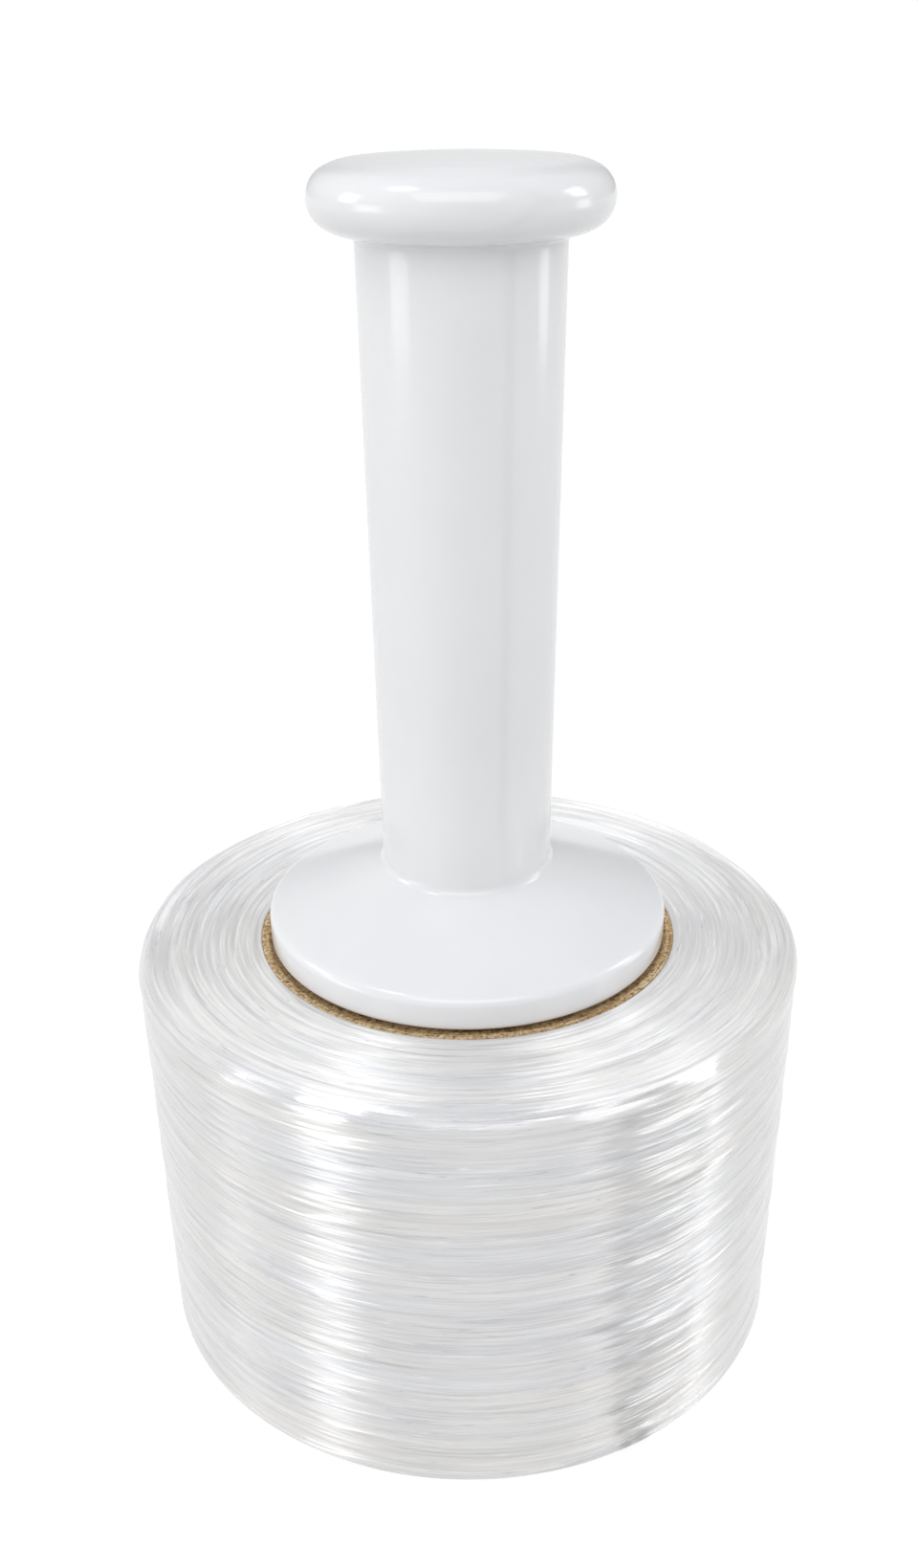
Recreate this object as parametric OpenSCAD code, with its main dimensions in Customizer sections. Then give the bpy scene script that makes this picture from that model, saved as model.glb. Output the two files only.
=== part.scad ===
// Roll of stretch film on a paperboard core, with a moulded handle that the roll turns on.
// The roll stands on its end at z = 0, and film, core and handle share the axis +Z.

/* [Film] */
// Width of the film, which is the height of the standing roll
film_width = 89; // [75:1:130]
// Diameter over the outermost turn
film_od = 134; // [116:1:180]
// Rounding where the outer turns meet the two end faces
film_corner_r = 2.5; // [1:0.5:8]
// Rings of turns whose edges stand out on each end face
face_rings = 12; // [4:1:18]
// How far the edges of the turns wander into an end face
face_relief = 0.6; // [0.1:0.1:1.2]
// Bands of looser and tighter winding along the side
side_bands = 14; // [4:1:24]
// How far the side sinks between its bands
band_relief = 0.4; // [0.1:0.1:0.8]

/* [Core] */
// Bore of the paperboard core
core_bore_d = 76.2; // [60:0.1:90]
// Wall of the core
core_wall = 4; // [2.5:0.5:8]
// How far the core's upper end sits below the end face of the film
core_setback = 0; // [0:0.5:4]

/* [Flange] */
// How far the flange reaches over the end of the core's wall
flange_seat = 1.9; // [1:0.1:2.4]
// Height of the flange's rim
flange_rim_h = 7; // [5:0.5:12]
// Rounding of the rim's upper edge
flange_rim_r = 2; // [1:0.5:4]
// Rounding of the rim's lower edge
flange_lip_r = 1; // [0.5:0.25:1.5]
// Slope of the flange's conical top, in degrees
flange_slope = 22.5; // [10:0.5:40]

/* [Grip] */
// Diameter at the foot of the grip
grip_foot_d = 33.2; // [28:0.2:40]
// Diameter of the grip under the knob
grip_top_d = 35.4; // [30:0.2:42]
// Length of the grip, from its foot fillet to the knob
grip_len = 113; // [80:1:140]
// Fillet where the grip rises from the flange
foot_fillet_r = 2; // [0.5:0.25:4]

/* [Knob] */
// Diameter of the knob
knob_d = 50.5; // [44:0.5:60]
// Height of the knob's rounded rim
knob_h = 11.25; // [10.5:0.25:14]
// Rounding of the rim at its widest
knob_rim_r = 5; // [3.5:0.1:5.2]
// Rise of the domed top above the rim
knob_dome_h = 0.7; // [0.4:0.1:3]

/* [Spigot] */
// Length of the spigot inside the core
spigot_len = 42; // [15:1:70]
// Radial clearance between the spigot and the core's bore
spigot_clearance = 0.5; // [0.2:0.1:1]
// Rounding of the spigot's closed end
spigot_end_r = 6; // [2:0.5:12]
// Clearance between the flange and the end of the core
seat_clearance = 0.3; // [0.1:0.1:1]

/* [Moulding] */
// Wall of the hollow handle
handle_wall = 2; // [1.2:0.1:2.6]

/* [Hidden] */
$fn = 144;

// Largest angle that one straight step of a rounded outline turns through
arc_step = 9;
// Shares of the relief at which the shallow and the deep rings and bands lie
shallow_share = 0.15;
deep_share = 0.7;
// How far each of them strays from its share, and the turn that keeps the strays from repeating
stray_share = 0.4;
stray_angle = 137.5;
// Share of half the knob's height that the rounding of its rim stays below
rim_share = 0.92;
// Overlap of a cut past the face that it opens
cut_over = 1;

film_r = film_od / 2;
core_bore_r = core_bore_d / 2;
core_r = core_bore_r + core_wall;
core_len = film_width - core_setback;

flange_r = core_bore_r + flange_seat;
flange_z = core_len + seat_clearance;
spigot_r = core_bore_r - spigot_clearance;
spigot_z = flange_z - spigot_len;

// Centre of the rim's upper rounding, and where it runs into the cone
rim_c = [flange_r - flange_rim_r, flange_z + flange_rim_h - flange_rim_r];
cone_n = [sin(flange_slope), cos(flange_slope)];
cone_start = rim_c + flange_rim_r * cone_n;

// Centre of the foot fillet, which touches the cone and the grip
grip_foot_r = grip_foot_d / 2;
grip_top_r = grip_top_d / 2;
foot_x = grip_foot_r + foot_fillet_r;
foot_z = cone_start[1] + (foot_fillet_r - (foot_x - cone_start[0]) * cone_n[0]) / cone_n[1];
foot_c = [foot_x, foot_z];

// The knob's rim is an oval of three arcs that run smoothly into each other and into the dome.
// A knob that stands out by less than half its height takes the curvature of an ellipse at its rim.
knob_z = foot_z + grip_len;
knob_half_h = knob_h / 2;
knob_mid_z = knob_z + knob_half_h;
knob_reach = knob_d / 2 - grip_top_r;
rim_r =
    knob_reach < knob_half_h ? pow(knob_half_h, 2) / knob_reach : min(knob_rim_r, rim_share * knob_half_h);
rim_reach = knob_reach - rim_r;
shoulder_r = (pow(rim_reach, 2) + pow(knob_half_h, 2) - pow(rim_r, 2)) / (2 * (knob_half_h - rim_r));
shoulder_drop = shoulder_r - knob_half_h;
rim_turn = atan2(abs(shoulder_drop), abs(rim_reach));
dome_offset = (pow(grip_top_r, 2) + pow(knob_dome_h, 2)) / (2 * knob_dome_h);
dome_turn = asin(grip_top_r / dome_offset);
dome_r = dome_offset + shoulder_r;
dome_z = knob_z + knob_h + knob_dome_h - dome_r;

// Points along an arc from angle a0 to angle a1, or its centre where it has no radius
function arc(c, r, a0, a1) =
    let (n = max(1, ceil(abs(a1 - a0) / arc_step)))
    r <= 0 ? [c] : [for (i = [0 : n]) let (a = a0 + (a1 - a0) * i / n) c + r * [cos(a), sin(a)]];

// Rounded corner that keeps its wall when the outline moves in by inset
function corner(tip, toward, r, inset, a0, a1) =
    let (reach = max(r, inset)) arc(tip - reach * toward, reach - inset, a0, a1);

// Depth of ring or band number i below its face: odd ones lie deep, even ones near the face
function wander(i, relief) =
    relief * (i % 2 == 1 ? deep_share : shallow_share) * (1 + stray_share * sin(i * stray_angle));

// An end face of the film from radius r0 to r1, as the depths of its rings
function face_points(r0, r1) =
    [for (i = [1 : 2 * face_rings]) [r0 + (r1 - r0) * i / (2 * face_rings), wander(i, face_relief)]];

// The side of the film from height z0 to z1, as the radii of its bands
function side_points(z0, z1) =
    [for (i = [1 : 2 * side_bands - 1]) [film_r - wander(i, band_relief), z0 + (z1 - z0) * i / (2 * side_bands)]];

// Outline of the film's cut section: bottom face outward, side upward, top face inward
function film_outline() =
    let (
        flat_r = film_r - film_corner_r,
        low_z = film_corner_r,
        high_z = film_width - film_corner_r,
        face = face_points(flat_r, core_r),
        last = len(face) - 1
    )
    concat(
        [for (i = [last : -1 : 0]) face[i]],
        arc([flat_r, low_z], film_corner_r, -90, 0),
        side_points(low_z, high_z),
        arc([flat_r, high_z], film_corner_r, 0, 90),
        [for (p = face) [p[0], film_width - p[1]]]
    );

// Outline of the handle from the spigot's closed end up to the knob, moved in by inset
function handle_outline(inset) =
    concat(
        [[0, spigot_z + inset]],
        corner([spigot_r, spigot_z], [1, -1], spigot_end_r, inset, -90, 0),
        [[spigot_r - inset, flange_z + inset]],
        corner([flange_r, flange_z], [1, -1], flange_lip_r, inset, -90, 0),
        corner([flange_r, flange_z + flange_rim_h], [1, 1], flange_rim_r, inset, 0, 90 - flange_slope),
        arc(foot_c, foot_fillet_r + inset, 270 - flange_slope, 180),
        knob_outline(inset)
    );

// Outline of the knob from the grip's top over the rim to the middle of the dome
function knob_outline(inset) =
    concat(
        inset > 0 ? [[grip_top_r - inset, knob_z + inset]] : [],
        arc([grip_top_r, knob_mid_z + shoulder_drop], shoulder_r - inset, -90, -rim_turn),
        arc([grip_top_r + rim_reach, knob_mid_z], rim_r - inset, -rim_turn, rim_turn),
        arc([grip_top_r, knob_mid_z - shoulder_drop], shoulder_r - inset, rim_turn, 90 - dome_turn),
        arc([0, dome_z], dome_r - inset, 90 - dome_turn, 90)
    );

// All turns of the film as one solid, with the rings and bands that the turns leave on it
module film_roll() {
    color("whitesmoke") rotate_extrude() polygon(film_outline());
}

// Paperboard tube that the film is wound on
module core() {
    color("burlywood")
    difference() {
        cylinder(r = core_r, h = core_len);
        translate([0, 0, -cut_over])
            cylinder(r = core_bore_r, h = core_len + 2 * cut_over);
    }
}

// Hollow moulding in one piece: closed spigot, flange, tapered grip and knob
module handle() {
    color("white")
    difference() {
        rotate_extrude() polygon(handle_outline(0));
        rotate_extrude() polygon(handle_outline(handle_wall));
    }
}

film_roll();
core();
handle();
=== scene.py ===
"""Looks of a roll of stretch film with a moulded handle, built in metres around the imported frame."""

import math

import bpy
import numpy as np
from mathutils import Matrix, Vector


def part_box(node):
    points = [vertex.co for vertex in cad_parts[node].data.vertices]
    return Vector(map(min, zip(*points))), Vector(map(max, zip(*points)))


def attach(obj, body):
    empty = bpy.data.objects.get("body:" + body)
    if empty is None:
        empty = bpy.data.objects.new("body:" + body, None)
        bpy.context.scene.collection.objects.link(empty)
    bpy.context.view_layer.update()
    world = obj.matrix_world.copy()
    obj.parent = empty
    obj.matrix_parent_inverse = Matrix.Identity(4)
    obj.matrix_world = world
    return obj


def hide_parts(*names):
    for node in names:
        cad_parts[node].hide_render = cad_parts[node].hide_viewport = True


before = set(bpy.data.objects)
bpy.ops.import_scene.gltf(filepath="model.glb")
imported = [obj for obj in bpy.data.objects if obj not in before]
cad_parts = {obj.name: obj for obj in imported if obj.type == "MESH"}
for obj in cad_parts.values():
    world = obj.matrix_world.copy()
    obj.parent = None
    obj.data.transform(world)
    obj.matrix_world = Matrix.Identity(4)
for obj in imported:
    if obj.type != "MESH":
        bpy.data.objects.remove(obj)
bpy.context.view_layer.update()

MM = 0.001

# Sizes of the frame's nodes
film_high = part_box("film_roll")[1]
core_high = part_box("core")[1]
handle_low, handle_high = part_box("handle")
FILM_R = film_high.x
FILM_H = film_high.z
CORE_R = core_high.x
CORE_H = core_high.z
FLANGE_R = handle_high.x
SPIGOT_Z = handle_low.z

# The film's rounded edges, the rings on its faces and the bands along its side, as in the frame
FILM_CORNER = 2.5 * MM
FACE_RINGS = 12
FACE_RELIEF = 0.6 * MM
SIDE_BANDS = 14
BAND_RELIEF = 0.4 * MM
SHALLOW_SHARE = 0.15
DEEP_SHARE = 0.7
STRAY_SHARE = 0.4
STRAY_ANGLE = 137.5
# Share of the rings' relief that is left where the single turns show
RING_SHARE = 1 / 3

# Rows and columns of the film's mesh, and the angle between the rows of a rounded edge
FILM_COLS = 360
SIDE_ROWS = 150
TOP_ROWS = 72
BOTTOM_ROWS = 24
CORNER_STEP = 7.5
CORNER_ROWS = round(90 / CORNER_STEP) + 1

# Fine and broad unevenness of the turns, in mm
SIDE_GRAIN = (0.035, 0.045)
TOP_GRAIN = (0.022, 0.025)
# Crinkles and creases of the upper edge in mm, and how far they reach from its middle
RIM_CRINKLE = 0.02
RIM_CREASE = 0.10
RIM_REACH = 3.0 * MM
# The upper edge is rounder than the frame's: how deep it lies at its middle in mm, and how fast that fades
RIM_DROP = 0.42
RIM_DROP_FADE = 0.12

# Turns that stand out around the upper edge, in mm: place from its middle inward, wander and drop behind
CRESTS = ((-2.6, 0.6, 0.20), (1.4, 0.45, 0.50), (4.6, 0.7, 0.20))
# Where the rows wander with the crests, from the edge's middle in mm
CREST_REACH = (-9.0, 10.0)
# Shares of a crest's drop around the edge: mean, spread, least and most
CREST_SHARES = (0.75, 0.5, 0.15, 1.6)
# The drop behind a crest in mm: how wide it falls, where it starts to close, and how fast it does
STEP_FALL = 1.3
STEP_HOLD = 0.6
STEP_CLOSE = 2.6

# Folds in the film around the upper edge, seen as slanted facets. Reach along it in degrees, the rest in mm
FOLDS = 28
FOLD_REACH = (4, 9)
FOLD_PLACE = (-2.2, 0.6)
FOLD_WIDTH = (0.8, 1.5)
FOLD_DEPTH = (0.25, 0.6)
FOLD_EDGE = 0.7

# The core's wall, the rounding of its cut ends, and how deep plain board, fibres and plies lie there in mm
CORE_WALL = 4 * MM
CORE_ROUNDING = 0.35 * MM
CORE_COLS = 480
END_DEPTH = 0.11
END_FIBRES = 0.07
END_PLIES = 0.06

# The handle's section, as in the frame, and the fillet under its knob
SEAT_CLEARANCE = 0.3 * MM
SPIGOT_CLEARANCE = 0.5 * MM
SPIGOT_END = 6 * MM
FLANGE_RIM_H = 7 * MM
FLANGE_RIM = 2 * MM
FLANGE_LIP = 1 * MM
FLANGE_SLOPE = 22.5
GRIP_FOOT_R = 16.6 * MM
GRIP_TOP_R = 17.7 * MM
GRIP_LEN = 113 * MM
FOOT_FILLET = 2 * MM
KNOB_R = 25.25 * MM
KNOB_HALF_H = 5.625 * MM
KNOB_RIM = 5 * MM
KNOB_DOME = 0.7 * MM
NECK_FILLET = 1.2 * MM
HANDLE_WALL = 2 * MM
HANDLE_COLS = 192
HOLLOW_COLS = 96
HANDLE_CREASE = 40


def arc(centre, radius, start, end, step=3.0):
    """Points (r, z) along an arc, in degrees from start to end."""
    count = max(1, math.ceil(abs(end - start) / step))
    turns = [math.radians(start + (end - start) * i / count) for i in range(count + 1)]
    return [(centre[0] + radius * math.cos(t), centre[1] + radius * math.sin(t)) for t in turns]


def line(start, end, spacing):
    """Points between start and end, without the two ends themselves."""
    count = max(1, round(math.dist(start, end) / spacing))
    return [tuple(start[k] + (end[k] - start[k]) * i / count for k in (0, 1)) for i in range(1, count)]


def softened(grid, across, along):
    """A grid that closes both ways, blurred over across rows by along columns."""
    row_f = np.fft.fftfreq(grid.shape[0])[:, None]
    col_f = np.fft.fftfreq(grid.shape[1])[None, :]
    soft = np.exp(-2 * math.pi ** 2 * ((across * row_f) ** 2 + (along * col_f) ** 2))
    return np.fft.ifft2(np.fft.fft2(grid) * soft).real


def grain(rows, cols, across, along, seed):
    """Smooth noise of unit spread, with features of across rows by along columns."""
    field = softened(np.random.default_rng(seed).standard_normal((rows, cols)), across, along)
    return field / field.std()


def revolved(name, loops, sharp=None):
    """A mesh of closed shells. Each loop is a grid of points, rows by turn, and says if it is a ring."""
    verts, faces = [], []
    for grid, ring in loops:
        base = len(verts)
        rows, cols = grid.shape[:2]
        verts.extend(map(tuple, grid.reshape(-1, 3)))
        for i in range(rows if ring else rows - 1):
            this, above = base + i * cols, base + (i + 1) % rows * cols
            for k in range(cols):
                m = (k + 1) % cols
                faces.append((this + k, this + m, above + m, above + k))
        if not ring:
            for row, flip in ((0, True), (rows - 1, False)):
                fan = [base + row * cols + k for k in range(cols)]
                centre = np.mean([verts[v] for v in fan], axis=0)
                tip = len(verts)
                verts.append(tuple(centre))
                for k in range(cols):
                    a, b = fan[k], fan[(k + 1) % cols]
                    faces.append((b, a, tip) if flip else (a, b, tip))
    mesh = bpy.data.meshes.new(name)
    mesh.from_pydata(verts, [], faces)
    mesh.validate()
    mesh.shade_smooth()
    if sharp:
        mesh.set_sharp_from_angle(angle=math.radians(sharp))
    obj = bpy.data.objects.new(name, mesh)
    bpy.context.scene.collection.objects.link(obj)
    return obj


def lengths(outline):
    """Distance of each point from the outline's first one, along the outline."""
    return np.concatenate([[0], np.cumsum([math.dist(p, q) for p, q in zip(outline, outline[1:])])])


def spun(outline, cols, depth=0.0, slide=0.0):
    """The outline's points (r, z), moved along it by slide and inward by depth, turned about the axis."""
    points = np.array(outline)
    run = lengths(outline)
    before, after = np.roll(points, 1, axis=0), np.roll(points, -1, axis=0)
    way = after - before
    normal = np.stack([way[:, 1], -way[:, 0]], axis=1)
    normal /= np.linalg.norm(normal, axis=1)[:, None]
    place = run[:, None] + slide + np.zeros((len(points), cols))
    r, z = (np.interp(place, run, points[:, k]) - np.interp(place, run, normal[:, k]) * depth for k in (0, 1))
    turn = np.arange(cols) * 2 * math.pi / cols
    return np.stack([r * np.cos(turn), r * np.sin(turn), z], axis=-1)


def wander(i, relief):
    """Depth of ring or band number i below its face: odd ones lie deep, even ones near the face."""
    share = DEEP_SHARE if i % 2 else SHALLOW_SHARE
    return relief * share * (1 + STRAY_SHARE * math.sin(math.radians(i * STRAY_ANGLE)))


def relief_line(count, relief, steps):
    """Depths along a run of rings or bands, from its first to its last, at that many steps."""
    knots = [wander(i, relief) for i in range(count + 1)]
    return np.interp(np.linspace(0, count, steps), np.arange(count + 1), knots)


def step_down(gap):
    """Share of a crest's drop, by the gap in mm behind it: from 0 to nearly 1, and then slowly back to 0."""
    rise = np.clip(gap / STEP_FALL, 0, 1)
    return rise ** 2 * (3 - 2 * rise) * np.exp(-np.clip(gap - STEP_HOLD, 0, None) / STEP_CLOSE)


def crests(gap):
    """Wander of the rows and depth behind the crests in mm, by the gap in mm from the edge's middle."""
    slide = np.zeros((len(gap), FILM_COLS))
    depth = np.zeros((len(gap), FILM_COLS))
    start, stop = CREST_REACH
    anchors = [start] + [offset for offset, _, _ in CRESTS] + [stop]
    mean, spread, least, most = CREST_SHARES
    for number, (offset, stray, drop) in enumerate(CRESTS):
        here = np.interp(gap, anchors, np.eye(len(anchors))[number + 1])
        slide += here * stray * grain(1, FILM_COLS, 0, 10, seed=31 + number)[0]
        height = drop * np.clip(mean + spread * grain(1, FILM_COLS, 0, 7, seed=41 + number)[0], least, most)
        depth += height * step_down(gap - offset)
    return slide, depth


def folds(gap):
    """Depths in mm of long pointed facets at seeded places, by the gap in mm from the edge's middle."""
    chance = np.random.default_rng(53)
    turn = np.arange(FILM_COLS) * 360 / FILM_COLS
    depth = np.zeros((len(gap), FILM_COLS))
    ranges = ((0, 360), FOLD_REACH, FOLD_PLACE, FOLD_WIDTH, FOLD_DEPTH)
    draws = [chance.uniform(low, high, FOLDS) for low, high in ranges]
    for middle, reach, offset, width, deep in zip(*draws):
        along = ((turn - middle + 180) % 360 - 180) / reach
        pointed = np.sqrt(np.clip(1 - along ** 2, 0, 1))
        across = (gap - offset) / width / np.maximum(pointed, 0.05)
        edge = np.clip((1 - across) * width / FOLD_EDGE, 0, 1) * np.clip(1 + across, 0, 1)
        depth += deep * pointed * (1 + across) / 2 * edge
    return softened(depth, 0.8, 1.3)


def film_roll():
    """All turns of the film: fine turn edges on both faces, bands along the side, a crinkled outer edge."""
    flat_r = FILM_R - FILM_CORNER
    low = (flat_r, FILM_CORNER)
    high = (flat_r, FILM_H - FILM_CORNER)
    bottom = [(CORE_R + (flat_r - CORE_R) * i / BOTTOM_ROWS, 0.0) for i in range(BOTTOM_ROWS)]
    side = [(FILM_R, low[1] + (high[1] - low[1]) * i / SIDE_ROWS) for i in range(1, SIDE_ROWS)]
    top = [(flat_r + (CORE_R - flat_r) * i / TOP_ROWS, FILM_H) for i in range(1, TOP_ROWS + 1)]
    outline = bottom + arc(low, FILM_CORNER, -90, 0, CORNER_STEP) + side
    outline += arc(high, FILM_CORNER, 0, 90, CORNER_STEP) + top
    outline += line((CORE_R, FILM_H), (CORE_R, 0.0), 30 * MM)
    rows = len(outline)
    side_end = len(bottom) + CORNER_ROWS + len(side)
    side_rows = slice(side_end - len(side), side_end)
    top_rows = slice(side_end + CORNER_ROWS, side_end + CORNER_ROWS + len(top))

    depth = np.zeros((rows, FILM_COLS))
    rings = RING_SHARE * FACE_RELIEF
    depth[:len(bottom)] = relief_line(2 * FACE_RINGS, rings, len(bottom))[::-1, None]
    depth[side_rows] = relief_line(2 * SIDE_BANDS, BAND_RELIEF, len(side))[:, None]
    depth[top_rows] = relief_line(2 * FACE_RINGS, rings, len(top))[:, None]

    # The grain of the side runs on over half of both rounded edges
    over = CORNER_ROWS // 2 - 1
    grain_rows = slice(side_rows.start - over, side_rows.stop + over)
    fine = grain(rows, FILM_COLS, 1.0, 18, seed=3) * MM
    broad = grain(rows, FILM_COLS, 2.6, 38, seed=5) * MM
    for part, (fine_share, broad_share) in ((grain_rows, SIDE_GRAIN), (top_rows, TOP_GRAIN)):
        depth[part] += fine_share * fine[part] + broad_share * broad[part]

    # The upper edge, by the way along the outline from its middle
    run = lengths(outline)[:, None]
    from_rim = run - run[side_end + CORNER_ROWS // 2]
    gap = from_rim / MM
    crinkle = grain(rows, FILM_COLS, 1.6, 4, seed=7)
    crease = grain(rows, FILM_COLS, 2.2, 9, seed=11)
    near = np.exp(-(from_rim / RIM_REACH) ** 2)
    depth += near * (RIM_CRINKLE * crinkle + RIM_CREASE * np.abs(crease)) * MM
    depth += np.clip(RIM_DROP - RIM_DROP_FADE * gap ** 2, 0, None) * MM
    slide, behind = crests(gap)
    depth += (behind + folds(gap)) * MM

    # Nothing stands out past the frame's faces, and the bore stays plain
    depth = np.clip(depth, 0, None)
    depth[top_rows.stop - 1:] = 0
    depth[0] = 0
    return revolved("film", [(spun(outline, FILM_COLS, depth, slide * MM), True)])


def core():
    """The paperboard tube, with its fibres standing up on the cut ends."""
    inner = CORE_R - CORE_WALL
    near, far = inner + CORE_ROUNDING, CORE_R - CORE_ROUNDING
    low, high = CORE_ROUNDING, CORE_H - CORE_ROUNDING
    spacing = 0.3 * MM
    outline = arc((near, low), CORE_ROUNDING, 180, 270, step=30)
    outline += line((near, 0.0), (far, 0.0), spacing)
    outline += arc((far, low), CORE_ROUNDING, -90, 0, step=30)
    outline += line((CORE_R, low), (CORE_R, high), 22 * MM)
    outline += arc((far, high), CORE_ROUNDING, 0, 90, step=30)
    outline += line((far, CORE_H), (near, CORE_H), spacing)
    outline += arc((near, high), CORE_ROUNDING, 90, 180, step=30)
    outline += line((inner, high), (inner, low), 8 * MM)
    rows = len(outline)
    heights = np.array(outline)[:, 1]
    ends = ((heights < low) | (heights > high)).astype(float)[:, None]
    fibres = grain(rows, CORE_COLS, 0.8, 1.2, seed=21)
    plies = grain(rows, CORE_COLS, 0.9, 26, seed=23)
    depth = ends * np.clip(END_DEPTH + END_FIBRES * fibres + END_PLIES * plies, 0, None) * MM
    return revolved("core_tube", [(spun(outline, CORE_COLS, depth), True)])


def corner(tip, toward, radius, inset, start, end):
    """Rounded corner that keeps its wall when the outline moves in by inset."""
    reach = max(radius, inset)
    centre = (tip[0] - reach * toward[0], tip[1] - reach * toward[1])
    return arc(centre, reach - inset, start, end) if reach > inset else [centre]


def handle_outline(inset):
    """Section of the handle from the spigot's closed end up to the middle of the knob, moved in by inset."""
    flange_z = CORE_H + SEAT_CLEARANCE
    spigot_r = CORE_R - CORE_WALL - SPIGOT_CLEARANCE
    lean = math.radians(FLANGE_SLOPE)
    rim_top = flange_z + FLANGE_RIM_H
    cone_r = FLANGE_R - FLANGE_RIM + FLANGE_RIM * math.sin(lean)
    cone_z = rim_top - FLANGE_RIM + FLANGE_RIM * math.cos(lean)
    foot_r = GRIP_FOOT_R + FOOT_FILLET
    foot_z = cone_z + (FOOT_FILLET - (foot_r - cone_r) * math.sin(lean)) / math.cos(lean)
    knob_z = foot_z + GRIP_LEN
    mid_z = knob_z + KNOB_HALF_H

    # The three arcs of the knob's rim run into each other and into the dome
    reach = KNOB_R - GRIP_TOP_R - KNOB_RIM
    shoulder = (reach ** 2 + KNOB_HALF_H ** 2 - KNOB_RIM ** 2) / (2 * (KNOB_HALF_H - KNOB_RIM))
    drop = shoulder - KNOB_HALF_H
    turn = math.degrees(math.atan2(drop, reach))
    dome = (GRIP_TOP_R ** 2 + KNOB_DOME ** 2) / (2 * KNOB_DOME)
    dome_turn = math.degrees(math.asin(GRIP_TOP_R / dome))
    dome_r = dome + shoulder
    dome_z = knob_z + 2 * KNOB_HALF_H + KNOB_DOME - dome_r

    end_r = spigot_r - max(SPIGOT_END, inset)
    points = line((0.0, SPIGOT_Z + inset), (end_r, SPIGOT_Z + inset), 4 * MM)
    points += corner((spigot_r, SPIGOT_Z), (1, -1), SPIGOT_END, inset, -90, 0)
    points += [(spigot_r - inset, flange_z + inset)]
    points += corner((FLANGE_R, flange_z), (1, -1), FLANGE_LIP, inset, -90, 0)
    points += corner((FLANGE_R, rim_top), (1, 1), FLANGE_RIM, inset, 0, 90 - FLANGE_SLOPE)
    foot = arc((foot_r, foot_z), FOOT_FILLET + inset, 270 - FLANGE_SLOPE, 180)
    points += line(points[-1], foot[0], 1.5 * MM) + foot

    # The fillet under the knob touches the grip and the shoulder. The hollow has none
    span = shoulder + NECK_FILLET
    lead = 0.0 if inset else math.degrees(math.asin(NECK_FILLET / span))
    neck = [(GRIP_TOP_R - inset, knob_z + inset)]
    if not inset:
        neck_z = mid_z + drop - span * math.cos(math.radians(lead))
        neck = arc((GRIP_TOP_R + NECK_FILLET, neck_z), NECK_FILLET, 180, 90 + lead, step=12)
    points += line(foot[-1], neck[0], 3 * MM) + neck
    points += arc((GRIP_TOP_R, mid_z + drop), shoulder - inset, -90 + lead, -turn)[0 if inset else 1:]
    points += arc((GRIP_TOP_R + reach, mid_z), KNOB_RIM - inset, -turn, turn)[1:]
    points += arc((GRIP_TOP_R, mid_z - drop), shoulder - inset, turn, 90 - dome_turn)[1:]
    points += arc((0.0, dome_z), dome_r - inset, 90 - dome_turn, 90, step=0.5)[1:-1]
    return points


def handle():
    """The blown handle: one outer skin and the hollow inside it, a wall apart."""
    outer = spun(handle_outline(0.0), HANDLE_COLS)
    inner = spun(handle_outline(HANDLE_WALL)[::-1], HOLLOW_COLS)
    return revolved("handle_moulding", [(outer, False), (inner, False)], sharp=HANDLE_CREASE)


def node(tree, kind, inputs=None, **settings):
    """A shader node with its settings, whose inputs are set to values or linked to sockets."""
    made = tree.nodes.new("ShaderNode" + kind)
    for name, value in settings.items():
        setattr(made, name, value)
    for name, value in (inputs or {}).items():
        if isinstance(value, bpy.types.NodeSocket):
            tree.links.new(value, made.inputs[name])
        else:
            made.inputs[name].default_value = value
    return made


def maths(tree, operation, *values):
    """The result of one Math node."""
    return node(tree, "Math", dict(enumerate(values)), operation=operation).outputs[0]


def vectors(tree, operation, *values):
    """The vector that one Vector Math node gives."""
    return node(tree, "VectorMath", dict(enumerate(values)), operation=operation).outputs[0]


def parts_of(tree, vector):
    """The three sockets of a vector's parts."""
    return node(tree, "SeparateXYZ", {0: vector}).outputs


def radius_of(tree, x, y):
    """Distance from the axis of a place with this x and y."""
    flat = node(tree, "CombineXYZ", {0: x, 1: y}).outputs[0]
    return node(tree, "VectorMath", {0: flat}, operation="LENGTH").outputs["Value"]


def azimuth_of(tree, x, y):
    """Azimuth in radians of a place with this x and y: 0 on the camera's side, growing to its right."""
    return maths(tree, "ARCTAN2", x, maths(tree, "MULTIPLY", y, -1.0))


def noise(tree, vector, scale, detail=2.0, rough=0.5, output=0):
    """Noise from 0 to 1 at scale features a metre along the three coordinates. Output 1 is a colour."""
    spread = vectors(tree, "MULTIPLY", vector, scale)
    inputs = {"Vector": spread, "Scale": 1.0, "Detail": detail, "Roughness": rough}
    return node(tree, "TexNoise", inputs).outputs[output]


def ramp(tree, value, *stops):
    """A colour or grey ramp through its (position, colour) stops."""
    made = node(tree, "ValToRGB", {"Fac": value})
    elements = made.color_ramp.elements
    while len(elements) < len(stops):
        elements.new(0.5)
    for element, (position, color) in zip(elements, stops):
        element.position = position
        element.color = (*color, 1.0)
    return made.outputs[0]


def remap(tree, value, low, high, to_low, to_high):
    """A value between low and high, brought to between to_low and to_high."""
    inputs = {"Value": value, "From Min": low, "From Max": high, "To Min": to_low, "To Max": to_high}
    return node(tree, "MapRange", inputs).outputs[0]


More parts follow.
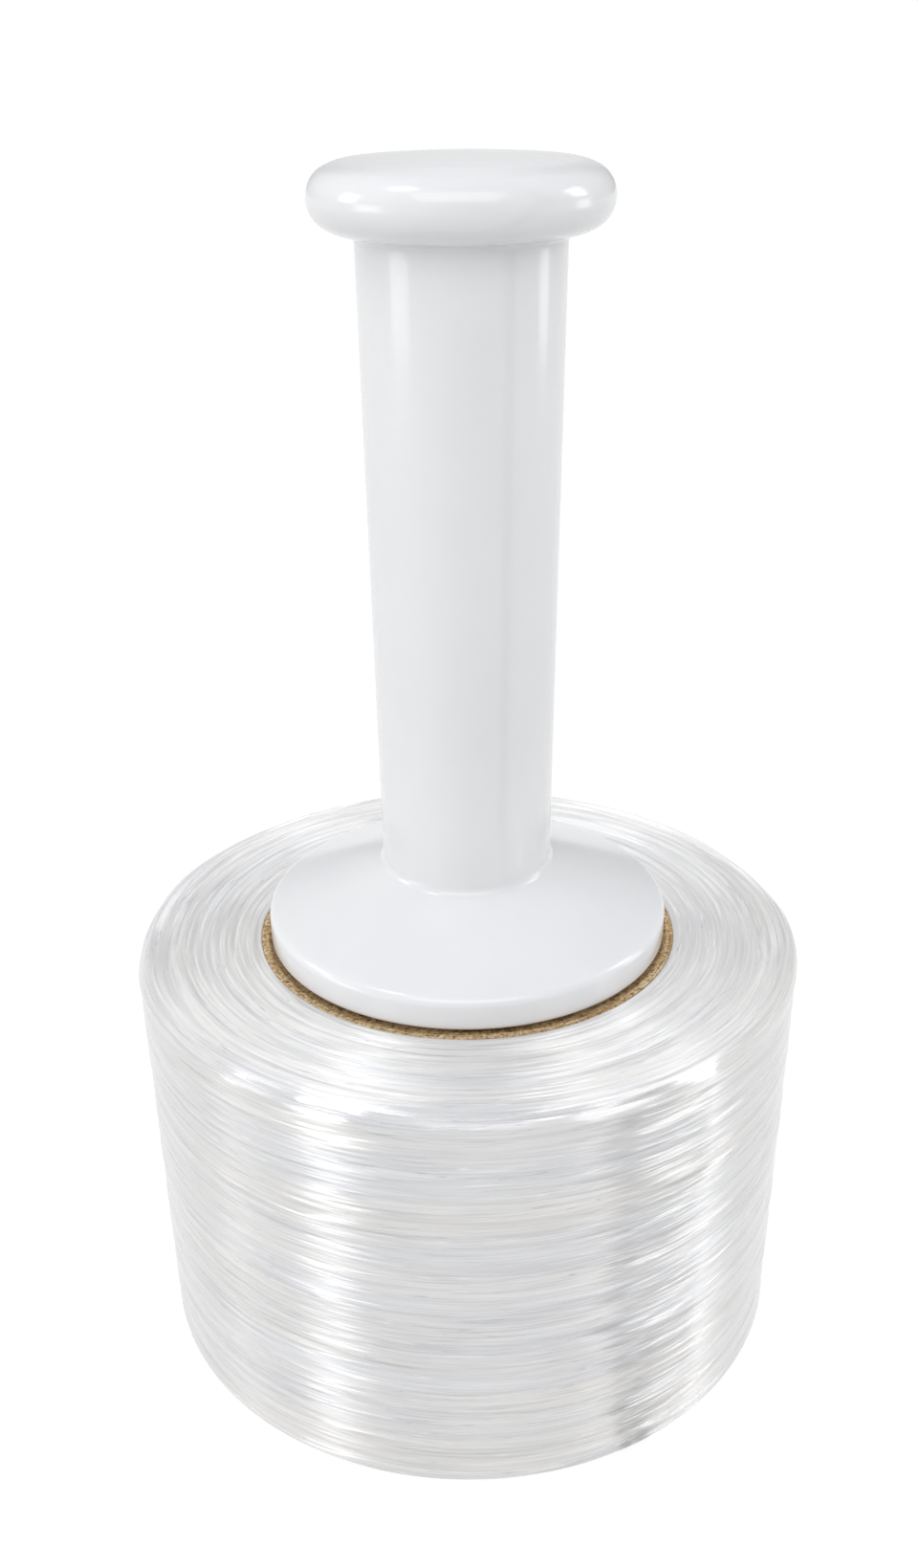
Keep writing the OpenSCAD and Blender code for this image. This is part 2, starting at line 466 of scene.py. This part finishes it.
def blended(tree, share, low, high, kind="MIX"):
    """Two colours mixed by share, or by a blend type. A colour is a socket or three numbers."""
    low, high = (color if isinstance(color, bpy.types.NodeSocket) else (*color, 1.0) for color in (low, high))
    made = node(tree, "Mix", {0: share, 6: low, 7: high}, data_type="RGBA", blend_type=kind)
    return made.outputs[2]


def material(name, build, **constants):
    """A material of one Principled shader. Its constants sit on the shader's own sockets."""
    made = bpy.data.materials.new(name)
    made.use_nodes = True
    tree = made.node_tree
    tree.nodes.clear()
    shader = node(tree, "BsdfPrincipled", {k.replace("_", " "): v for k, v in constants.items()})
    out = node(tree, "OutputMaterial")
    tree.links.new(shader.outputs[0], out.inputs["Surface"])
    place = node(tree, "TexCoord").outputs["Object"]
    for socket, value in build(tree, place).items():
        tree.links.new(value, shader.inputs[socket])
    return made


# How far the turns wander up and down or in and out
TURN_WANDER = 0.9 * MM
# The film's colours: its streaks, its cool and warm cast, thin threads, and a painted sheen where it is seen
# at a glance
FILM_STREAKS = ((0.34, (0.71, 0.71, 0.73)), (0.50, (0.86, 0.857, 0.853)), (0.66, (0.98, 0.975, 0.97)))
FILM_CAST = ((0.35, (0.98, 0.985, 1.0)), (0.65, (1.0, 0.99, 0.965)))
DARK_THREAD = (0.60, 0.60, 0.65)
LIGHT_THREAD = (1.0, 1.0, 1.0)
PAINTED_FILM_SHEEN = (0.87, 0.868, 0.87)
# The film lies smooth around its upper edge. Its tilt and roughness come back at these distances from there
RIM_SMOOTH = (1.6 * MM, 3.6 * MM)
RIM_TILT = 0.08
RIM_ROUGH = 0.7
# A patch of looser film at the front right: its azimuth, where it ends in radians from there, and its tilt
PATCH_AZIMUTH = math.radians(34.5)
PATCH_END = (0.10, 0.15)
PATCH_TILT = 3.2
# Tilts of the film's surface: noise scale, tilt along and tilt across the turns
FILM_TILTS = (((50, 50, 1900), 0.22, 1.15), ((22, 22, 520), 0.13, 0.45))

# The board's colours: by the blend of fibres and plies, by a painted shade under the flange, and in its
# flecks
BOARD = ((0.39, (0.33, 0.20, 0.09)), (0.50, (0.68, 0.48, 0.26)), (0.59, (0.95, 0.79, 0.53)))
BOARD_PAINTED_SHADE = ((0.0, (0.50, 0.45, 0.38)), (0.45, (0.90, 0.87, 0.82)), (1.0, (1.0, 1.0, 1.0)))
BOARD_FLECKS = ((0.34, (0.45, 0.38, 0.30)), (0.42, (1.0, 1.0, 1.0)))
# The ring of painted shade on the board's end, from the flange outward, as distances from the core's outside
PAINTED_SHADE_START = 2.1 * MM
PAINTED_SHADE_END = 0.2 * MM

# The plastic's colour, which is a little cloudy
PLASTIC = ((0.35, (0.835, 0.84, 0.85)), (0.65, (0.865, 0.868, 0.872)))


def turn_place(tree, place):
    """x, y and a third coordinate that runs up the side and on across the top, square to the turns."""
    wobble = noise(tree, place, (15, 15, 30))
    x, y, z = parts_of(tree, place)
    run = maths(tree, "SUBTRACT", z, radius_of(tree, x, y))
    run = maths(tree, "ADD", run, remap(tree, wobble, 0, 1, -TURN_WANDER, TURN_WANDER))
    return node(tree, "CombineXYZ", {0: x, 1: y, 2: run}).outputs[0]


def tilted(tree, place, turns, base, share, loose, layers):
    """The base normal, tilted by share, and loose times more along the turns. Layers as in FILM_TILTS."""
    around = vectors(tree, "CROSS_PRODUCT", (0, 0, 1), place)
    spaces = {"vector_type": "VECTOR", "convert_from": "OBJECT", "convert_to": "WORLD"}
    around = node(tree, "VectorTransform", {0: around}, **spaces).outputs[0]
    around = vectors(tree, "NORMALIZE", around)
    across = vectors(tree, "CROSS_PRODUCT", base, around)
    total = base
    for scale, tilt_along, tilt_across in layers:
        parts = parts_of(tree, noise(tree, turns, scale, 3.0, 0.6, output=1))
        share_along = maths(tree, "MULTIPLY", share, loose)
        for way, part, tilt, much in (
            (around, parts[0], tilt_along, share_along),
            (across, parts[1], tilt_across, share),
        ):
            amount = maths(tree, "MULTIPLY", remap(tree, part, 0, 1, -tilt, tilt), much)
            step = node(tree, "VectorMath", {0: way, "Scale": amount}, operation="SCALE").outputs[0]
            total = vectors(tree, "ADD", total, step)
    return vectors(tree, "NORMALIZE", total)


def threads(tree, turns, scale, width):
    """Thin lines along the turns, 1 on a line and 0 beside it, which come and go."""
    field = noise(tree, turns, scale)
    near = maths(tree, "ABSOLUTE", maths(tree, "SUBTRACT", field, 0.5))
    on_line = remap(tree, near, 0, width, 1, 0)
    here = remap(tree, noise(tree, turns, (scale[0] * 1.5, scale[1] * 1.5, scale[2] * 0.4)), 0.45, 0.60, 0, 1)
    return maths(tree, "MULTIPLY", on_line, here)


def rim_share(tree, turns):
    """RIM_TILT at the middle of the upper edge, where the film lies smooth, and 1 away from it."""
    run = parts_of(tree, turns)[2]
    away = maths(tree, "ABSOLUTE", maths(tree, "SUBTRACT", run, FILM_H - FILM_R))
    return remap(tree, away, *RIM_SMOOTH, RIM_TILT, 1.0)


def loose_patch(tree, place):
    """PATCH_TILT inside the patch of looser film, and 1 away from it."""
    x, y = parts_of(tree, place)[:2]
    away = maths(tree, "ABSOLUTE", maths(tree, "SUBTRACT", azimuth_of(tree, x, y), PATCH_AZIMUTH))
    return remap(tree, away, *PATCH_END, PATCH_TILT, 1.0)


def film_nodes(tree, place):
    """Clear film, wound: many thin surfaces that shine in long streaks along the turns."""
    turns = turn_place(tree, place)
    fine = noise(tree, turns, (45, 45, 1900), 3.0, 0.65)
    middle = noise(tree, turns, (20, 20, 600))
    broad = noise(tree, turns, (7, 7, 120))
    streaks = maths(tree, "ADD", maths(tree, "MULTIPLY", fine, 0.6), maths(tree, "MULTIPLY", middle, 0.4))
    color = blended(tree, 1.0, ramp(tree, streaks, *FILM_STREAKS), ramp(tree, broad, *FILM_CAST), "MULTIPLY")
    color = blended(tree, threads(tree, turns, (28, 28, 900), 0.014), color, DARK_THREAD)
    color = blended(tree, threads(tree, turns, (24, 24, 900), 0.016), color, LIGHT_THREAD)

    # Streaks fade into a painted sheen where the film is seen at a glance, and tilt less on the top face
    facing = node(tree, "LayerWeight", {"Blend": 0.5}).outputs["Facing"]
    frontal = remap(tree, facing, 0.60, 0.92, 1.0, 0.2)
    color = blended(tree, frontal, PAINTED_FILM_SHEEN, color)
    base = node(tree, "NewGeometry").outputs["Normal"]
    on_top = remap(tree, parts_of(tree, base)[2], 0.75, 0.98, 1.0, 0.7)
    rim = rim_share(tree, turns)
    share = maths(tree, "MULTIPLY", maths(tree, "MULTIPLY", rim, frontal), on_top)
    normal = tilted(tree, place, turns, base, share, loose_patch(tree, place), FILM_TILTS)

    tangent = node(tree, "Tangent", direction_type="RADIAL", axis="Z").outputs[0]
    smoother = remap(tree, rim, RIM_TILT, 1.0, RIM_ROUGH, 1.0)
    rough = maths(tree, "MULTIPLY", remap(tree, streaks, 0.3, 0.7, 0.36, 0.44), smoother)
    return {
        "Base Color": color, "Roughness": rough, "Tangent": tangent,
        "Normal": normal, "Coat Normal": normal,
    }


def core_nodes(tree, place):
    """Kraft paperboard: short fibres, dark flecks and plies, and a painted shade near the flange."""
    turns = turn_place(tree, place)
    fibres = noise(tree, place, (1500, 1500, 1500), 4.0, 0.7)
    plies = noise(tree, turns, (60, 60, 2400))
    flecks = noise(tree, place, (800, 800, 800), 2.0, 0.6)
    blend = maths(tree, "ADD", maths(tree, "MULTIPLY", fibres, 0.65), maths(tree, "MULTIPLY", plies, 0.35))
    x, y = parts_of(tree, place)[:2]
    # Painted shade: the board's end darkens inward, under the flange, where the flange shades it
    out = remap(tree, radius_of(tree, x, y), CORE_R - PAINTED_SHADE_START, CORE_R - PAINTED_SHADE_END, 0, 1)
    color = ramp(tree, blend, *BOARD)
    color = blended(tree, 1.0, color, ramp(tree, out, *BOARD_PAINTED_SHADE), "MULTIPLY")
    color = blended(tree, 1.0, color, ramp(tree, flecks, *BOARD_FLECKS), "MULTIPLY")
    bump = node(tree, "Bump", {"Strength": 1.0, "Distance": 0.2 * MM, "Height": blend}).outputs[0]
    return {"Base Color": color, "Normal": bump}


def handle_nodes(tree, place):
    """Milky moulded plastic: slightly cloudy in its depth, with a faint orange peel."""
    cloud = noise(tree, place, (45, 45, 30), 3.0)
    peel = noise(tree, place, (300, 300, 200))
    haze = noise(tree, place, (60, 60, 25))
    color = ramp(tree, cloud, *PLASTIC)
    bump = node(tree, "Bump", {"Strength": 0.25, "Distance": 0.02 * MM, "Height": peel}).outputs[0]
    return {"Base Color": color, "Roughness": remap(tree, haze, 0.35, 0.65, 0.17, 0.21), "Normal": bump}


film_material = material(
    "wound_film", film_nodes,
    Metallic=0.55, IOR=1.5, Anisotropic=1.0, Anisotropic_Rotation=0.25, Coat_Weight=1.0, Coat_Roughness=0.12,
)
core_material = material("kraft_paperboard", core_nodes, Roughness=0.9, Specular_IOR_Level=0.25)
handle_material = material(
    "milky_plastic", handle_nodes,
    IOR=1.5, Subsurface_Weight=0.3, Subsurface_Radius=(1.0, 0.95, 0.9), Subsurface_Scale=3 * MM,
    Coat_Weight=0.7, Coat_Roughness=0.12,
)

pieces = {}
for make, body, cad_node, slot, finish in (
    (film_roll, "roll", "film_roll", "film", film_material),
    (core, "roll", "core", "paperboard", core_material),
    (handle, "handle", "handle", "handle_plastic", handle_material),
):
    piece = pieces[cad_node] = make()
    piece.data.materials.append(finish)
    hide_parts(cad_node)
    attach(piece, body)


# Brightness of the studio's walls by their azimuth: 0 is the camera's side, 90 its right
STUDIO = (
    (-180, 0.78), (-175, 0.74), (-165, 0.50), (-150, 0.68), (-110, 0.84), (-95, 0.82), (-45, 0.77),
    (40, 0.77), (57, 0.76), (59, 0.22), (63, 0.22), (64.5, 0.70), (66, 0.22), (70, 0.22), (72, 0.78),
    (130, 0.74), (165, 0.46), (175, 0.74), (180, 0.78),
)
# Colour of the studio's ceiling, and the heights of the view's way between which it takes over from the walls
CEILING = (0.62, 0.64, 0.69)
CEILING_FROM = 0.60
CEILING_FULL = 0.95
# Brightness of the floor as the film mirrors it, by azimuth about a point at the film's front right
FLOOR = (
    (-180, 0.94), (47.5, 0.94), (50.5, 0.36), (53.5, 0.36), (54.7, 0.84), (56, 0.30), (60.2, 0.30),
    (61.5, 0.94), (180, 0.94),
)
FLOOR_CENTRE = Vector((9.9, -39.8, 0)) * MM
FLOOR_HALF = 20.0
FLOOR_DROP = 0.05 * MM

# The softboxes hang on a sphere around this point, and take one of these colours and light some of the pieces
LAMP_AIM = Vector((0, 0, 0.12))
LAMP_DISTANCE = 1.1
WHITE = (1.0, 1.0, 1.0)
COOL = (0.98, 0.99, 1.0)
WARM = (1.0, 0.97, 0.93)
FILM = ("film_roll",)
ROLL = ("film_roll", "core")
HANDLE = ("handle",)


def add_camera():
    """The photograph's view: a close camera above the roll, level with the knob's top."""
    place = Vector((5.6, -279.3, 249.7)) * MM
    pitch, yaw, roll = math.radians(30.15), math.radians(-1.31), math.radians(-0.58)
    forward = Vector((math.sin(yaw) * math.cos(pitch), math.cos(yaw) * math.cos(pitch), -math.sin(pitch)))
    level = Vector((math.cos(yaw), -math.sin(yaw), 0))
    upright = level.cross(forward)
    right = level * math.cos(roll) + upright * math.sin(roll)
    up = upright * math.cos(roll) - level * math.sin(roll)
    data = bpy.data.cameras.new("camera")
    data.lens = 35.97
    data.sensor_width = 36.0
    data.shift_x = -0.0029
    data.shift_y = 0.0939
    data.clip_start = 0.01
    camera = bpy.data.objects.new("camera", data)
    bpy.context.scene.collection.objects.link(camera)
    camera.matrix_world = Matrix.Translation(place) @ Matrix((right, up, -forward)).transposed().to_4x4()
    bpy.context.scene.camera = camera


def grey_around(tree, x, y, greys):
    """A grey by the azimuth of a place with this x and y, from stops in degrees."""
    share = remap(tree, azimuth_of(tree, x, y), -math.pi, math.pi, 0, 1)
    return ramp(tree, share, *[((turn + 180) / 360, (grey,) * 3) for turn, grey in greys])


def add_world():
    """A white studio: plain white to the camera. As a light it has grey walls as in STUDIO and a ceiling."""
    world = bpy.data.worlds.new("studio")
    world.use_nodes = True
    bpy.context.scene.world = world
    tree = world.node_tree
    tree.nodes.clear()
    rays = node(tree, "LightPath")
    white = node(tree, "Background", {"Color": (1, 1, 1, 1), "Strength": 1.0})
    x, y, z = parts_of(tree, node(tree, "TexCoord").outputs["Generated"])
    above = ramp(tree, z, (CEILING_FROM, (0, 0, 0)), (CEILING_FULL, (1, 1, 1)))
    color = blended(tree, above, grey_around(tree, x, y, STUDIO), CEILING)
    soft = node(tree, "Background", {"Color": color, "Strength": 1.0})
    mix = node(tree, "MixShader", {0: rays.outputs["Is Camera Ray"], 1: soft.outputs[0], 2: white.outputs[0]})
    out = node(tree, "OutputWorld")
    tree.links.new(mix.outputs[0], out.inputs["Surface"])


def floor_paint():
    """White paint that keeps a soft shadow. The pieces mirror it with two narrow dark wedges, as in FLOOR."""
    made = bpy.data.materials.new("floor_paint")
    made.use_nodes = True
    tree = made.node_tree
    tree.nodes.clear()
    rays = node(tree, "LightPath").outputs
    paint = node(tree, "BsdfDiffuse", {"Color": (0.86, 0.86, 0.855, 1)})
    faint = node(tree, "BsdfDiffuse", {"Color": (0.36, 0.36, 0.36, 1)})
    glow = node(tree, "Emission", {"Color": (1, 1, 1, 1), "Strength": 0.80})
    bright = node(tree, "AddShader", {0: faint.outputs[0], 1: glow.outputs[0]})
    place = vectors(tree, "SUBTRACT", node(tree, "NewGeometry").outputs["Position"], FLOOR_CENTRE)
    x, y = parts_of(tree, place)[:2]
    mirror = node(tree, "Emission", {"Color": grey_around(tree, x, y, FLOOR), "Strength": 1.0})
    seen = node(tree, "MixShader", {0: rays["Is Camera Ray"], 1: paint.outputs[0], 2: bright.outputs[0]})
    seen = node(tree, "MixShader", {0: rays["Is Glossy Ray"], 1: seen.outputs[0], 2: mirror.outputs[0]})
    out = node(tree, "OutputMaterial")
    tree.links.new(seen.outputs[0], out.inputs["Surface"])
    return made


def add_floor():
    """A wide plain floor just under the object."""
    mesh = bpy.data.meshes.new("floor")
    corners = [(x * FLOOR_HALF, y * FLOOR_HALF, 0) for x, y in ((-1, -1), (1, -1), (1, 1), (-1, 1))]
    mesh.from_pydata(corners, [], [(0, 1, 2, 3)])
    mesh.materials.append(floor_paint())
    floor = bpy.data.objects.new("floor", mesh)
    bpy.context.scene.collection.objects.link(floor)
    floor.location.z = -FLOOR_DROP


def collected(name, keys):
    """A collection of the pieces that stand for these nodes."""
    made = bpy.data.collections.new(name)
    for key in keys:
        made.objects.link(pieces[key])
    return made


def softbox(name, azimuth, elevation, size, radiance, color, lit):
    """A softbox that faces the object from an azimuth, as in STUDIO, and lights the pieces named in lit."""
    data = bpy.data.lights.new(name, "AREA")
    data.shape = "RECTANGLE"
    data.size, data.size_y = size
    data.energy = radiance * math.pi * size[0] * size[1]
    data.color = color
    lamp = bpy.data.objects.new(name, data)
    bpy.context.scene.collection.objects.link(lamp)
    turn, rise = math.radians(azimuth), math.radians(elevation)
    way = Vector((math.cos(rise) * math.sin(turn), -math.cos(rise) * math.cos(turn), math.sin(rise)))
    place = Matrix.Translation(LAMP_AIM + LAMP_DISTANCE * way)
    lamp.matrix_world = place @ (-way).to_track_quat("-Z", "Y").to_matrix().to_4x4()
    lamp.visible_camera = False
    lamp.light_linking.receiver_collection = collected(name + "_lit", lit)
    lamp.light_linking.blocker_collection = collected(name + "_blocked", pieces)


add_camera()
add_world()
add_floor()

# Softboxes: azimuth and elevation in degrees, width and height in metres, radiance, colour and what it lights
softbox("left", -90, 22, (0.28, 0.36), 3.6, COOL, HANDLE)
softbox("left_high", -65, 60, (0.26, 0.24), 4.2, COOL, HANDLE)
softbox("right", 100, 28, (0.28, 0.36), 3.6, WHITE, HANDLE)
softbox("roll_rim_left", -84, 44, (0.28, 0.26), 1.4, COOL, ROLL)
softbox("roll_rim_right", 84, 50, (0.90, 0.24), 1.7, WHITE, ROLL)
softbox("roll_back", 180, 45, (1.20, 0.50), 0.7, WHITE, ROLL)
softbox("roll_left", -43, 12, (0.22, 0.62), 4.8, WHITE, FILM)
softbox("roll_far_left", -76, 12, (0.08, 0.62), 2.4, WHITE, FILM)
softbox("roll_right", 79, 12, (0.16, 0.62), 5.2, WHITE, FILM)
softbox("roll_front", 42, 12, (0.10, 0.60), 1.6, WARM, FILM)
softbox("roll_edge", 0, 55, (0.60, 0.16), 1.9, WHITE, FILM)
softbox("roll_back_left", -155, 60, (0.22, 0.22), 5.2, WHITE, ROLL)
softbox("roll_back_right", 160, 60, (0.18, 0.20), 5.0, WARM, ROLL)
softbox("handle_front", 0, 45, (1.10, 0.60), 1.38, COOL, HANDLE)
softbox("handle_below", 0, -60, (0.60, 0.40), 0.4, WHITE, HANDLE)
softbox("handle_low_left", -69, 2, (0.44, 0.36), 1.8, WHITE, HANDLE)
softbox("handle_low_right", 100, 3, (0.28, 0.36), 1.8, WHITE, HANDLE)

bpy.context.scene.view_settings.view_transform = "Standard"
